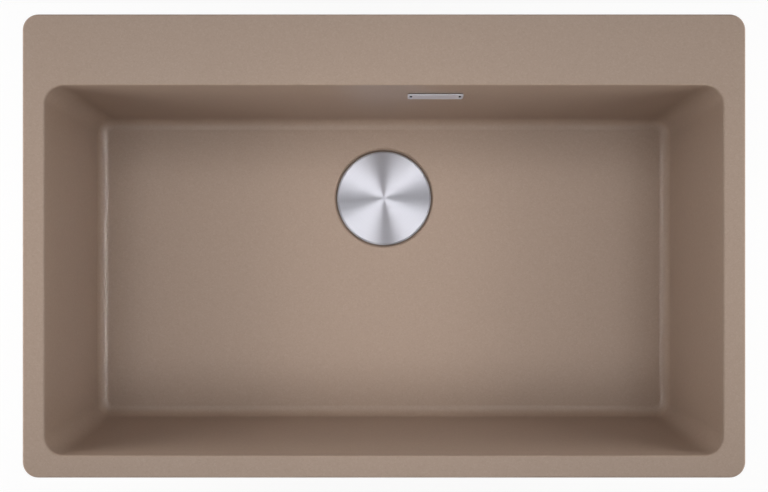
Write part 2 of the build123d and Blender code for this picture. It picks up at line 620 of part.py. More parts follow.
def cover_socket():
    """Plastic socket under the disc, with a groove for its grip ring, standing on the knob."""
    bore = STUB_RADIUS + COVER_SOCKET_CLEARANCE
    wall = bore + COVER_SOCKET_WALL
    corners = [
        (bore, SOCKET_END_Z),
        (wall, SOCKET_END_Z),
        (wall, cover_under(wall)),
        (0, COVER_UNDER_Z),
        (0, SOCKET_ROOF_Z),
        (bore, SOCKET_ROOF_Z),
    ]
    return at_drain(turned(corners, 0) - grip_groove())


def cover_under(radius):
    """Height of the disc's underside at a radius."""
    return COVER_UNDER_Z - COVER_RISE * radius / (COVER_RADIUS - COVER_SHEET)


def grip_ring_z():
    return SOCKET_END_Z + STUB_HEIGHT / 2


def grip_groove():
    centre = STUB_RADIUS + GRIP_RING_CLEARANCE + GRIP_RING_RADIUS
    return Pos(0, 0, grip_ring_z()) * Torus(centre, GRIP_RING_RADIUS + GRIP_RING_CLEARANCE)


def cover_grip_ring():
    centre = STUB_RADIUS + GRIP_RING_CLEARANCE + GRIP_RING_RADIUS
    return at_drain(Pos(0, 0, grip_ring_z()) * Torus(centre, GRIP_RING_RADIUS))


def frame_opening():
    """Place of each end opening from the overflow's middle, and its width."""
    outer = WINDOW_LENGTH / 2 - FRAME_CLEARANCE - FRAME_WALL
    return (outer + BRIDGE_WIDTH / 2) / 2, outer - BRIDGE_WIDTH / 2


def overflow_cover():
    """Steel plate over the frame, with an upright slot near each end."""
    front = -FRAME_FLANGE - PLATE_THICKNESS
    plate = wall_block(PLATE_LENGTH, PLATE_HEIGHT, PLATE_CORNER_RADIUS, front, -FRAME_FLANGE)
    face = plate.faces().sort_by(Axis(wall_plane(0).origin, wall_plane(0).z_dir))[-1]
    plate = fillet(face.edges(), PLATE_EDGE_RADIUS)
    place = PLATE_LENGTH / 2 - SLOT_INSET
    slot = SlotOverall(SLOT_LENGTH, SLOT_WIDTH, rotation=90)
    slots = [Pos(side * place, 0) * slot for side in (-1, 1)]
    return plate - extrude(wall_plane(EMBED) * (Sketch() + slots), EMBED - front + EMBED)


def overflow_frame():
    """Plastic insert in the wall's window: thin flange, screw bridge, an opening at each end."""
    margin = 2 * FRAME_FLANGE_INSET
    frame = wall_block(PLATE_LENGTH - margin, PLATE_HEIGHT - margin, PLATE_CORNER_RADIUS - FRAME_FLANGE_INSET,
                       -FRAME_FLANGE, 0)
    gap = 2 * FRAME_CLEARANCE
    frame += wall_block(WINDOW_LENGTH - gap, WINDOW_HEIGHT - gap, WINDOW_RADIUS - FRAME_CLEARANCE,
                        -FRAME_FLANGE, FRAME_DEPTH)
    place, width = frame_opening()
    height = WINDOW_HEIGHT - gap - 2 * FRAME_WALL
    back = wall_plane(FRAME_DEPTH + EMBED)
    through = FRAME_DEPTH + FRAME_FLANGE + 2 * EMBED
    for side in (-1, 1):
        frame -= extrude(back * Pos(side * place, 0) * Rectangle(width, height), through)
        spot = Pos(side * FRAME_SCREW_SPACING / 2, 0)
        frame -= extrude(back * spot * Circle(FRAME_SCREW_RADIUS + HOLE_CLEARANCE), through)
        pocket = spot * Circle(FRAME_HEAD_RADIUS + HOLE_CLEARANCE)
        frame -= extrude(wall_plane(FRAME_HEAD_BASE) * pocket, FRAME_HEAD_BASE + FRAME_FLANGE + EMBED)
    return frame


def overflow_screws():
    """Two screws through the frame into the housing's bridge, hidden by the plate."""
    screws = []
    for side in (-1, 1):
        spot = Pos(side * FRAME_SCREW_SPACING / 2, 0)
        head = extrude(wall_plane(FRAME_HEAD_BASE) * spot * Circle(FRAME_HEAD_RADIUS), FRAME_HEAD_HEIGHT)
        shank = extrude(wall_plane(FRAME_SCREW_END) * spot * Circle(FRAME_SCREW_RADIUS), FRAME_SCREW_LENGTH)
        slot_plane = wall_plane(FRAME_HEAD_BASE - FRAME_HEAD_HEIGHT + DRIVE_SLOT_DEPTH)
        drive = spot * Rectangle(2 * FRAME_HEAD_RADIUS, DRIVE_SLOT_WIDTH)
        slot = extrude(slot_plane * drive, DRIVE_SLOT_DEPTH)
        screws.append(head + shank - slot)
    return Compound(children=screws)


def housing_flange(front, back):
    """Block of the housing flange's outline between two depths behind the wall's inner face."""
    margin = 2 * HOUSING_FLANGE_MARGIN
    return wall_block(WINDOW_LENGTH + margin, WINDOW_HEIGHT + margin, HOUSING_FLANGE_MARGIN, front, back)


def overflow_rear_seal():
    seal = housing_flange(WALL_THICKNESS, HOUSING_SEAT)
    return seal - wall_block(WINDOW_LENGTH, WINDOW_HEIGHT, WINDOW_RADIUS, 0, HOUSING_SEAT + EMBED)


def housing_end(shrink, y):
    """Upright rounded square behind the wall, at one Y, around the hose's axis."""
    size = 2 * (SPIGOT_RADIUS - shrink)
    centre = (OVERFLOW_X, y, HOSE_TOP_Z + SPIGOT_DROP + SPIGOT_RADIUS)
    plane = Plane(centre, x_dir=(1, 0, 0), z_dir=(0, -1, 0))
    return plane * RectangleRounded(size, size, HOUSING_CORNER_RADIUS + HOUSING_WALL - shrink)


def housing_mouth(grow, depth):
    """Outline of the housing's mouth on the wall, grown past the window."""
    outline = RectangleRounded(WINDOW_LENGTH + 2 * grow, WINDOW_HEIGHT + 2 * grow, WINDOW_RADIUS + grow)
    return wall_plane(depth) * outline


def overflow_housing():
    """Moulded elbow: flange on the wall, tapering chamber with a screw bridge, spigot down to the hose."""
    end_y = HOSE_Y + SPIGOT_RADIUS
    inner_end = housing_end(HOUSING_WALL, end_y - HOUSING_WALL)
    chamber = loft([housing_mouth(HOUSING_WALL, HOUSING_SEAT), housing_end(0, end_y)], ruled=True)
    space = loft([housing_mouth(0, HOUSING_SEAT - EMBED), inner_end], ruled=True)
    axis = Pos(OVERFLOW_X, HOSE_Y, 0)
    housing = chamber + axis * rod(SPIGOT_RADIUS, HOSE_TOP_Z, OVERFLOW_Z)
    housing += housing_flange(HOUSING_SEAT, HOUSING_SEAT + HOUSING_FLANGE)
    housing -= space
    housing -= axis * rod(HOSE_BORE_RADIUS, HOSE_TOP_Z, OVERFLOW_Z)
    bridge_end = FRAME_SCREW_END + BRIDGE_MARGIN
    bridge_face = wall_plane(bridge_end) * Rectangle(BRIDGE_WIDTH, PLATE_LENGTH)
    bridge = extrude(bridge_face, bridge_end - HOUSING_SEAT)
    for side in (-1, 1):
        pilot = Pos(side * FRAME_SCREW_SPACING / 2, 0) * Circle(FRAME_SCREW_RADIUS + THREAD_CLEARANCE)
        bridge -= extrude(wall_plane(FRAME_SCREW_END) * pilot, FRAME_SCREW_END)
    return housing + (bridge & chamber)


def hose_station(s):
    """Plane across the hose at a distance along it from the lower union, facing up the hose."""
    if s <= HOSE_STRAIGHT:
        reach, rise, tilt = s, 0.0, 0.0
    elif s <= HOSE_STRAIGHT + HOSE_BEND_LENGTH:
        tilt = (s - HOSE_STRAIGHT) / HOSE_BEND_RADIUS
        reach = HOSE_STRAIGHT + HOSE_BEND_RADIUS * sin(tilt)
        rise = HOSE_BEND_RADIUS * (1 - cos(tilt))
    else:
        tilt = pi / 2
        reach = HOSE_STRAIGHT + HOSE_BEND_RADIUS
        rise = HOSE_BEND_RADIUS + s - HOSE_STRAIGHT - HOSE_BEND_LENGTH
    out = Vector(cos(HOSE_HEADING), sin(HOSE_HEADING), 0)
    up = Vector(0, 0, 1)
    centre = Vector(0, DRAIN_Y, INLET_Z) + out * (HOSE_START + reach) + up * rise
    side = (-sin(HOSE_HEADING), cos(HOSE_HEADING), 0)
    return Plane(centre, x_dir=side, z_dir=out * cos(tilt) + up * sin(tilt))


def overflow_hose():
    """Corrugated hose: plain cuffs at both ends, ribs between them, round bore all through."""
    ribs = int((HOSE_LENGTH - 2 * HOSE_CUFF_LENGTH) / RIB_PITCH)
    first = (HOSE_LENGTH - ribs * RIB_PITCH) / 2
    rings = [(0, HOSE_ROOT_RADIUS)]
    for rib in range(ribs):
        foot = first + rib * RIB_PITCH
        crest = foot + RIB_FLANK
        rings += [(foot, HOSE_ROOT_RADIUS), (crest, HOSE_CREST_RADIUS)]
        rings += [(crest + RIB_CREST, HOSE_CREST_RADIUS), (crest + RIB_CREST + RIB_FLANK, HOSE_ROOT_RADIUS)]
    rings.append((HOSE_LENGTH, HOSE_ROOT_RADIUS))
    hose = loft([hose_station(s) * Circle(radius) for s, radius in rings], ruled=True)
    flange = Circle(SPIGOT_RADIUS - CUFF_FLANGE_MARGIN)
    hose += extrude(hose_station(0) * flange, CUFF_FLANGE)
    hose += extrude(hose_station(HOSE_LENGTH - CUFF_FLANGE) * flange, CUFF_FLANGE)
    bend_middle = HOSE_STRAIGHT + HOSE_BEND_LENGTH / 2
    bend_end = HOSE_STRAIGHT + HOSE_BEND_LENGTH
    stops = [hose_station(s).origin for s in (0, HOSE_STRAIGHT, bend_middle, bend_end, HOSE_LENGTH)]
    route = Line(stops[0], stops[1]) + ThreePointArc(*stops[1:4]) + Line(stops[3], stops[4])
    return hose - sweep(hose_station(0) * Circle(HOSE_BORE_RADIUS), path=route)


def upper_union():
    """Plane across the housing's spigot end, facing down the hose."""
    return Plane((OVERFLOW_X, HOSE_Y, HOSE_TOP_Z), x_dir=(1, 0, 0), z_dir=(0, 0, -1))


def union_seal(union):
    ring = Circle(SPIGOT_RADIUS - CUFF_FLANGE_MARGIN) - Circle(HOSE_BORE_RADIUS)
    return extrude(union * ring, UNION_SEAL_THICKNESS)


def union_nut(union):
    """Fluted nut over a spigot's end, its lip behind the hose's cuff flange."""
    lip_start = UNION_SEAL_THICKNESS + CUFF_FLANGE
    end = lip_start + NUT_LIP
    nut = rod(NUT_RADIUS, end - NUT_LENGTH, end)
    nut = fillet(nut.edges().filter_by(GeomType.CIRCLE), NUT_LIP / 4)
    flute = Pos(NUT_RADIUS, 0, 0) * rod(FLUTE_RADIUS, end - NUT_LENGTH - EMBED, end + EMBED)
    nut -= PolarLocations(0, NUT_FLUTES) * flute
    nut -= rod(SPIGOT_RADIUS + NUT_CLEARANCE, end - NUT_LENGTH, lip_start)
    nut -= rod(HOSE_ROOT_RADIUS + HOLE_CLEARANCE, lip_start, end)
    return union * nut


def clip_inserts():
    sleeve = tube(CLIP_INSERT_RADIUS, CLIP_SCREW_RADIUS + THREAD_CLEARANCE,
                  -POST_LENGTH, -POST_LENGTH + CLIP_INSERT_LENGTH)
    return Compound(children=[Pos(x, y, 0) * sleeve for x, y, heading in CLIPS])


def clip_screws():
    """Long screws that hang from the posts, each carrying its clip on its head."""
    head = rod(CLIP_HEAD_RADIUS, CLIP_HEAD_Z - CLIP_HEAD_HEIGHT, CLIP_HEAD_Z)
    head = fillet(lowest_edges(head), CLIP_HEAD_HEIGHT / 3)
    screw = head + rod(CLIP_SCREW_RADIUS, CLIP_HEAD_Z, CLIP_HEAD_Z + CLIP_SCREW_LENGTH)
    slot = Box(2 * CLIP_HEAD_RADIUS, DRIVE_SLOT_WIDTH, DRIVE_SLOT_DEPTH)
    screw -= Pos(0, 0, CLIP_HEAD_Z - CLIP_HEAD_HEIGHT + DRIVE_SLOT_DEPTH / 2) * slot
    return Compound(children=[Pos(x, y, 0) * Rot(0, 0, heading) * screw for x, y, heading in CLIPS])


def clip_strip():
    """Bent strip on its screw, stowed along the wall, with a toothed tip that bites the worktop."""
    corners = [
        (0, 0, 0),
        (CLIP_REACH, 0, 0),
        (CLIP_REACH, 0, CLIP_TIP_HEIGHT),
        (CLIP_REACH - CLIP_SHEET, 0, CLIP_TIP_HEIGHT),
        (CLIP_REACH - CLIP_SHEET, 0, CLIP_SHEET),
        (0, 0, CLIP_SHEET),
    ]
    bends = [0, CLIP_BEND_RADIUS + CLIP_SHEET, 0, 0, CLIP_BEND_RADIUS, 0]
    strip = extrude(make_face(FilletPolyline(*corners, radius=bends, close=True)), CLIP_WIDTH / 2, both=True)
    strip += rod(CLIP_WIDTH / 2, 0, CLIP_SHEET)
    strip -= rod(CLIP_SCREW_RADIUS + CLIP_RUNNING_CLEARANCE, 0, CLIP_SHEET)
    pitch = CLIP_WIDTH / CLIP_TEETH
    for tooth in range(CLIP_TEETH + 1):
        middle = tooth * pitch - CLIP_WIDTH / 2
        notch = Polyline(
            (CLIP_REACH, middle - pitch / 2, CLIP_TIP_HEIGHT),
            (CLIP_REACH, middle + pitch / 2, CLIP_TIP_HEIGHT),
            (CLIP_REACH, middle, CLIP_TIP_HEIGHT - CLIP_TOOTH_DEPTH),
            close=True,
        )
        strip -= extrude(make_face(notch), CLIP_SHEET, dir=(-1, 0, 0))
    return Pos(0, 0, CLIP_HEAD_Z) * strip


NODES = {
    "sink_bowl": sink_bowl(),
    "rim_seal": seal_ring(),
    "waste_flange_seal": waste_flange_seal(),
    "waste_cup": waste_cup(),
    "waste_body_seal": waste_body_seal(),
    "waste_body": waste_body(),
    "waste_insert": waste_insert(),
    "waste_screw": waste_screw(),
    "strainer_basket": strainer_basket(),
    "strainer_stem": strainer_stem(),
    "strainer_knob": strainer_knob(),
    "strainer_spacer": strainer_spacer(),
    "stopper_plate": stopper_plate(),
    "stopper_seal": stopper_seal(),
    "strainer_nut": strainer_nut(),
    "cover_disc": cover_disc(),
    "cover_socket": cover_socket(),
    "cover_grip_ring": cover_grip_ring(),
    "overflow_cover": overflow_cover(),
    "overflow_frame": overflow_frame(),
    "overflow_screws": overflow_screws(),
    "overflow_rear_seal": overflow_rear_seal(),
    "overflow_housing": overflow_housing(),
    "overflow_hose": overflow_hose(),
    "overflow_upper_nut": union_nut(upper_union()),
    "overflow_lower_nut": union_nut(inlet_plane(INLET_END)),
    "overflow_upper_seal": union_seal(upper_union()),
    "overflow_lower_seal": union_seal(inlet_plane(INLET_END)),
    "clip_inserts": clip_inserts(),
    "clip_screws": clip_screws(),
}
strip = clip_strip()
for number, (x, y, heading) in enumerate(CLIPS, start=1):
    NODES[f"fixing_clip_{number}"] = Pos(x, y, 0) * Rot(0, 0, heading - 90) * strip

os.makedirs("parts", exist_ok=True)
for name, shape in NODES.items():
    export_step(shape, f"parts/{name}.step")
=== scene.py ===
import json
from math import cos, pi, radians, sin, tan

import bmesh
import bpy
from bpy.props import FloatProperty, FloatVectorProperty, PointerProperty
from bpy.types import Operator, Panel, PropertyGroup
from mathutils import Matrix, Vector


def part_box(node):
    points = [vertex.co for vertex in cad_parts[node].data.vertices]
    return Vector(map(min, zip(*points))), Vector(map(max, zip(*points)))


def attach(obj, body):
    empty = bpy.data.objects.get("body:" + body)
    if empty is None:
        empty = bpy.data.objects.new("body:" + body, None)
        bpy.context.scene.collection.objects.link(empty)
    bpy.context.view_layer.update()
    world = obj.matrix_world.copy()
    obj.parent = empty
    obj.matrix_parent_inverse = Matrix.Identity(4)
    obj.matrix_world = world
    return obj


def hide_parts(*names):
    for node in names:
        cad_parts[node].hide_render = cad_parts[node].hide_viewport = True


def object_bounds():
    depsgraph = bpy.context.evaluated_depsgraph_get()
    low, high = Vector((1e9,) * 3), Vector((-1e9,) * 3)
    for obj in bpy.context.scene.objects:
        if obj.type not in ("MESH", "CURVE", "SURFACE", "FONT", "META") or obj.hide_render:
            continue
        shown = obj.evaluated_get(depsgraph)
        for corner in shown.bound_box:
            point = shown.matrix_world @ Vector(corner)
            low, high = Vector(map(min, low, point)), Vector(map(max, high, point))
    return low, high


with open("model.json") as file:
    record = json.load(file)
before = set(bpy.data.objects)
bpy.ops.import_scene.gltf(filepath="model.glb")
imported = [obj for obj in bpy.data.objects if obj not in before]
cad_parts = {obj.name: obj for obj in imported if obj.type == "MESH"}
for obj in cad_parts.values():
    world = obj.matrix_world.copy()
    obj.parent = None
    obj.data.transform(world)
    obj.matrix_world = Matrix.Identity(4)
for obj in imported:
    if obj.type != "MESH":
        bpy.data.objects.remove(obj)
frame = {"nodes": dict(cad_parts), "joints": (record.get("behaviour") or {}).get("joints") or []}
CAD_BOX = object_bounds()

bl_info = {
    "name": "Inset kitchen sink",
    "version": (1, 0, 0),
    "blender": (4, 5, 0),
    "location": "View3D > Sidebar > Sink",
    "description": "Finishes, hose, foam cord and threads of an inset sink, around its packed solids",
    "category": "Object",
}

MM = 0.001
UP = Vector((0, 0, 1))
WHITE = (1, 1, 1, 1)

# Threads: radius of the plain bar in the solids, and how far the ridge stands out of it
OUTLET_RADIUS = 23.9 * MM
OUTLET_RIDGE = 0.5 * MM
SCREW_RADIUS = 2.0 * MM
SCREW_RIDGE = 0.22 * MM
# Where they start and end: above the outlet's foot, and above the joint of a clip
OUTLET_THREAD_START = 1.5 * MM
OUTLET_THREAD_END = 22 * MM
SCREW_THREAD_START = 1.6 * MM
# Edges of new pieces that turn by more than this stay crisp
CRISP_EDGE = radians(50)

# Middle line of the groove under the rim: from the cord's outer edge, and its corner radius
GROOVE_INSET = 2.0 * MM
GROOVE_CORNER = 12.0 * MM

# Lamps: azimuths of the gridded softboxes in degrees, and each lamp's width and height in metres
BEAM_AZIMUTHS = (31, 61, 119, 149, 211, 241, 299, 329)
BEAM_SIZE = (0.7, 0.5)
SIDE_SIZE = (0.8, 0.4)
STRIP_SIZE = (0.45, 0.05)
STRIP_SPREAD = radians(3)
# Middle of the fold between the bowl's floor and its right wall; the left one mirrors it
FOLD = Vector((336.5, -26, -188)) * MM
# Lamp over the bowl: its place along Y and its radius
POOL_PLACE = -20 * MM
POOL_RADIUS = 50 * MM
# Studio floor: half its width in metres, and how far it lies below the outlet
FLOOR_REACH = 12.0
FLOOR_GAP = 0.5 * MM


def middle(node):
    """Middle of a CAD node's box at rest."""
    low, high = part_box(node)
    return (low + high) / 2


WASTE = middle("waste_cup")


def linear(code):
    """sRGB hex colour as the linear colour that the shaders take."""
    shares = [int(code[k : k + 2], 16) / 255 for k in (0, 2, 4)]
    return tuple(c / 12.92 if c <= 0.04045 else ((c + 0.055) / 1.055) ** 2.4 for c in shares)


def opaque(colour):
    return (*colour, 1.0)


def add_node(tree, kind, settings=None, links=None):
    """Adds a node. Settings fill its properties and sockets, links join its sockets to other nodes."""
    node = tree.nodes.new("ShaderNode" + kind)
    for name, value in (settings or {}).items():
        if isinstance(name, int) or name in node.inputs:
            node.inputs[name].default_value = value
        else:
            setattr(node, name, value)
    for name, source in (links or {}).items():
        tree.links.new(source, node.inputs[name])
    return node


def blank_material(name):
    """A new material and its node tree, with no nodes in it yet."""
    material = bpy.data.materials.new(name)
    material.use_nodes = True
    material.node_tree.nodes.clear()
    return material, material.node_tree


def seen_or_mirrored(tree):
    """1 for what is seen, directly, mirrored or through glass, and 0 for what only gives light."""
    path = add_node(tree, "LightPath").outputs
    seen = add_node(
        tree, "Math", {"operation": "ADD"}, {0: path["Is Camera Ray"], 1: path["Is Glossy Ray"]}
    )
    seen = add_node(
        tree,
        "Math",
        {"operation": "ADD", "use_clamp": True},
        {0: seen.outputs[0], 1: path["Is Transmission Ray"]},
    )
    return seen.outputs[0]


class SinkColours(PropertyGroup):
    granite: FloatVectorProperty(
        name="Granite", description="Composite of the bowl", subtype="COLOR", default=linear("A69080")
    )
    granite_dark: FloatVectorProperty(
        name="Dark grains", description="Darker quartz grains", subtype="COLOR", default=linear("9A8575")
    )
    granite_light: FloatVectorProperty(
        name="Light grains", description="Paler quartz grains", subtype="COLOR", default=linear("B19C8C")
    )
    steel: FloatVectorProperty(
        name="Stainless steel", description="All stainless pieces", subtype="COLOR", default=linear("E0E0E9")
    )
    zinc: FloatVectorProperty(
        name="Zinc plating", description="Clips and their screws", subtype="COLOR", default=linear("BCC2CA")
    )
    brass: FloatVectorProperty(
        name="Brass", description="Threaded inserts", subtype="COLOR", default=linear("C9A35C")
    )
    rubber: FloatVectorProperty(
        name="Rubber", description="Flat seals and the stopper", subtype="COLOR", default=linear("1B1B1C")
    )
    foam: FloatVectorProperty(
        name="Foam", description="Cord under the rim", subtype="COLOR", default=linear("5E5F61")
    )
    white_plastic: FloatVectorProperty(
        name="White plastic",
        description="Waste body, housing and nuts",
        subtype="COLOR",
        default=linear("E2E2DD"),
    )
    hose_plastic: FloatVectorProperty(
        name="Hose plastic", description="Corrugated hose", subtype="COLOR", default=linear("A6A9AA")
    )
    black_plastic: FloatVectorProperty(
        name="Black plastic",
        description="Overflow frame, cover socket",
        subtype="COLOR",
        default=linear("1E1E20"),
    )


class SinkSizes(PropertyGroup):
    hose_bore: FloatProperty(
        name="Hose bore", description="Radius inside the hose", unit="LENGTH", default=10.0 * MM
    )
    hose_root: FloatProperty(
        name="Hose root", description="Radius between the ribs", unit="LENGTH", default=11.4 * MM
    )
    hose_crest: FloatProperty(
        name="Hose crest", description="Radius over the ribs", unit="LENGTH", default=13.4 * MM
    )
    hose_flange: FloatProperty(
        name="Cuff flange", description="Radius of the hose's end flanges", unit="LENGTH", default=13.0 * MM
    )
    hose_flange_length: FloatProperty(
        name="Cuff flange length", description="Length of each end flange", unit="LENGTH", default=2.5 * MM
    )
    hose_cuff: FloatProperty(
        name="Plain cuff", description="Least plain length at each end", unit="LENGTH", default=29.0 * MM
    )
    hose_straight: FloatProperty(
        name="Straight run", description="Straight hose at the waste body", unit="LENGTH", default=33.0 * MM
    )
    rib_pitch: FloatProperty(
        name="Rib pitch", description="Distance from rib to rib", unit="LENGTH", default=4.6 * MM
    )
    cord_width: FloatProperty(
        name="Cord width", description="Width of the foam cord", unit="LENGTH", default=3.9 * MM
    )
    outlet_pitch: FloatProperty(
        name="Outlet thread", description="Pitch of the outlet's thread", unit="LENGTH", default=2.31 * MM
    )
    screw_pitch: FloatProperty(
        name="Screw thread", description="Pitch of the clip screws, as drawn", unit="LENGTH", default=1.0 * MM
    )


class SinkStage(PropertyGroup):
    camera_height: FloatProperty(
        name="Camera height", description="Above the rim's top", unit="LENGTH", default=1.585
    )
    view_width: FloatProperty(
        name="View width", description="Width in the picture at the rim's top", unit="LENGTH", default=0.8281
    )
    lamp_distance: FloatProperty(
        name="Lamp distance", description="Overhead lamps from the rim", unit="LENGTH", default=2.2
    )
    beam_elevation: FloatProperty(
        name="Beam elevation", description="Gridded lamps above the rim", subtype="ANGLE", default=radians(62)
    )
    beam_turn: FloatProperty(
        name="Beam turn", description="Turn of the gridded softboxes", subtype="ANGLE", default=radians(4)
    )
    beam_spread: FloatProperty(
        name="Beam spread", description="Fan of the gridded softboxes", subtype="ANGLE", default=radians(25)
    )
    beam_power: FloatProperty(
        name="Beam power", description="Each gridded softbox", unit="POWER", default=0.112
    )
    side_distance: FloatProperty(
        name="Side distance", description="Side softboxes from the middle", unit="LENGTH", default=0.95
    )
    side_elevation: FloatProperty(
        name="Side elevation", description="Side lamps above the rim", subtype="ANGLE", default=radians(17)
    )
    right_power: FloatProperty(
        name="Right power", description="Softbox on the right", unit="POWER", default=4.5
    )
    left_power: FloatProperty(
        name="Left power", description="Softbox on the left", unit="POWER", default=5.0
    )
    pool_angle: FloatProperty(
        name="Pool angle", description="Cone of the lamp over the bowl", subtype="ANGLE", default=radians(15)
    )
    pool_power: FloatProperty(
        name="Pool power", description="Lamp over the bowl", unit="POWER", default=19.0
    )
    fold_elevation: FloatProperty(
        name="Fold elevation", description="Strip lamps above the rim", subtype="ANGLE", default=radians(72)
    )
    left_fold_power: FloatProperty(
        name="Left fold power", description="Strip lamp for the left fold", unit="POWER", default=0.042
    )
    right_fold_power: FloatProperty(
        name="Right fold power", description="Strip lamp for the right fold", unit="POWER", default=0.011
    )
    overhead: FloatProperty(name="Overhead", description="Light from straight above", default=0.43)
    sky: FloatProperty(name="Sky", description="Light from half way up", default=0.02)
    horizon: FloatProperty(name="Horizon", description="Light from the pale surroundings", default=1.0)


def granite_composite():
    """Quartz grains in acrylic resin, cast in a mould: fine even speckle and a silky matt skin."""
    colours = bpy.context.scene.sink_colours
    material, tree = blank_material("cast_granite_composite")
    place = add_node(tree, "TexCoord").outputs["Object"]
    # Real grains of 0.1 to 0.5 mm are under half a pixel in the render, so they are drawn at 1.4 mm
    grains = add_node(tree, "TexVoronoi", {"Scale": 1 / (1.4 * MM)}, {"Vector": place})
    share = add_node(tree, "SeparateColor", links={"Color": grains.outputs["Color"]}).outputs["Red"]
    dark = add_node(tree, "MapRange", {"From Min": 0.3, "From Max": 0.0, "To Max": 0.35}, {"Value": share})
    light = add_node(tree, "MapRange", {"From Min": 0.7, "From Max": 1.0, "To Max": 0.35}, {"Value": share})
    body = add_node(
        tree,
        "Mix",
        {"data_type": "RGBA", 6: opaque(colours.granite), 7: opaque(colours.granite_dark)},
        {0: dark.outputs[0]},
    )
    speckled = add_node(
        tree,
        "Mix",
        {"data_type": "RGBA", 7: opaque(colours.granite_light)},
        {0: light.outputs[0], 6: body.outputs[2]},
    )
    # Skin left by the mould: 0.9 mm texture that breaks up the gloss
    skin = add_node(tree, "TexNoise", {"Scale": 1 / (0.9 * MM), "Detail": 2.0}, {"Vector": place})
    gloss = add_node(tree, "MapRange", {"To Min": 0.34, "To Max": 0.44}, {"Value": skin.outputs[0]})
    bump = add_node(
        tree, "Bump", {"Strength": 0.15, "Distance": 0.05 * MM}, {"Height": skin.outputs[0]}
    )
    shader = add_node(
        tree,
        "BsdfPrincipled",
        {"IOR": 1.5},
        {"Base Color": speckled.outputs[2], "Roughness": gloss.outputs[0], "Normal": bump.outputs[0]},
    )
    add_node(tree, "OutputMaterial", links={"Surface": shader.outputs[0]})
    return material


def spun_stainless():
    """Stainless disc finished on a spinning wheel: circular lines that fan the light out in spokes."""
    colours = bpy.context.scene.sink_colours
    material, tree = blank_material("spun_stainless_steel")
    place = add_node(tree, "TexCoord").outputs["Object"]
    flat = add_node(
        tree,
        "VectorMath",
        {"operation": "MULTIPLY_ADD", 1: (1, 1, 0), 2: (-WASTE.x, -WASTE.y, 0)},
        {0: place},
    )
    radius = add_node(tree, "VectorMath", {"operation": "LENGTH"}, {0: flat.outputs["Vector"]})
    # Wheel lines of about 0.1 mm are too fine for the render, so they are drawn at 0.7 mm
    lines = add_node(
        tree,
        "TexNoise",
        {"noise_dimensions": "1D", "Scale": 1 / (0.7 * MM), "Detail": 3.0},
        {"W": radius.outputs["Value"]},
    )
    tint = add_node(
        tree,
        "Mix",
        {"data_type": "RGBA", 6: opaque(colours.steel), 7: opaque([0.9 * c for c in colours.steel])},
        {0: lines.outputs[0]},
    )
    gloss = add_node(tree, "MapRange", {"To Min": 0.34, "To Max": 0.42}, {"Value": lines.outputs[0]})
    bump = add_node(
        tree, "Bump", {"Strength": 0.08, "Distance": 0.02 * MM}, {"Height": lines.outputs[0]}
    )
    round_axis = add_node(tree, "Tangent", {"direction_type": "RADIAL", "axis": "Z"})
    shader = add_node(
        tree,
        "BsdfPrincipled",
        {"Metallic": 1.0, "Anisotropic": 1.0, "Anisotropic Rotation": 0.25},
        {
            "Base Color": tint.outputs[2],
            "Roughness": gloss.outputs[0],
            "Normal": bump.outputs[0],
            "Tangent": round_axis.outputs[0],
        },
    )
    add_node(tree, "OutputMaterial", links={"Surface": shader.outputs[0]})
    return material


def grained_metal(name, colour, stretch, roughness, metallic=1.0):
    """Metal with fine parallel tool marks; stretch is the marks' length along X, Y and Z in millimetres."""
    material, tree = blank_material(name)
    place = add_node(tree, "TexCoord").outputs["Object"]
    scales = tuple(1 / (length * MM) for length in stretch)
    marks_place = add_node(tree, "VectorMath", {"operation": "MULTIPLY", 1: scales}, {0: place})
    marks = add_node(tree, "TexNoise", {"Scale": 1.0, "Detail": 3.0}, {"Vector": marks_place.outputs[0]})
    tint = add_node(
        tree,
        "Mix",
        {"data_type": "RGBA", 6: opaque(colour), 7: opaque([0.86 * c for c in colour])},
        {0: marks.outputs[0]},
    )
    low, high = roughness
    gloss = add_node(tree, "MapRange", {"To Min": low, "To Max": high}, {"Value": marks.outputs[0]})
    bump = add_node(
        tree, "Bump", {"Strength": 0.15, "Distance": 0.02 * MM}, {"Height": marks.outputs[0]}
    )
    shader = add_node(
        tree,
        "BsdfPrincipled",
        {"Metallic": metallic},
        {"Base Color": tint.outputs[2], "Roughness": gloss.outputs[0], "Normal": bump.outputs[0]},
    )
    add_node(tree, "OutputMaterial", links={"Surface": shader.outputs[0]})
    return material


def brushed_stainless():
    """Stainless sheet brushed along its length: long faint lines and a soft wide gloss."""
    colour = bpy.context.scene.sink_colours.steel
    return grained_metal("brushed_stainless_steel", colour, (30.0, 0.5, 0.5), (0.3, 0.46))


def blasted_stainless():
    """Stainless plate blasted with fine beads: a pale frosted skin that scatters light as paint does."""
    colour = bpy.context.scene.sink_colours.steel
    return grained_metal("bead_blasted_stainless_steel", colour, (0.4, 0.4, 0.4), (0.5, 0.62), 0.2)


def drawn_stainless():
    """Deep-drawn stainless sheet: an even satin with faint upright draw lines."""
    colour = bpy.context.scene.sink_colours.steel
    return grained_metal("deep_drawn_stainless_steel", colour, (0.8, 0.8, 12.0), (0.26, 0.4))


def turned_stainless():
    """Stainless bar turned on a lathe: close level rings and a brighter gloss."""
    colour = bpy.context.scene.sink_colours.steel
    return grained_metal("turned_stainless_steel", colour, (12.0, 12.0, 0.35), (0.18, 0.3))


def zinc_plated_steel():
    """Pressed steel with passivated zinc: bluish, with a soft cloudy gloss."""
    colour = bpy.context.scene.sink_colours.zinc
    return grained_metal("zinc_plated_steel", colour, (2.5, 2.5, 2.5), (0.3, 0.48))


def turned_brass():
    """Brass insert turned from bar: warm yellow with level rings."""
    colour = bpy.context.scene.sink_colours.brass
    return grained_metal("turned_brass", colour, (10.0, 10.0, 0.4), (0.24, 0.36))


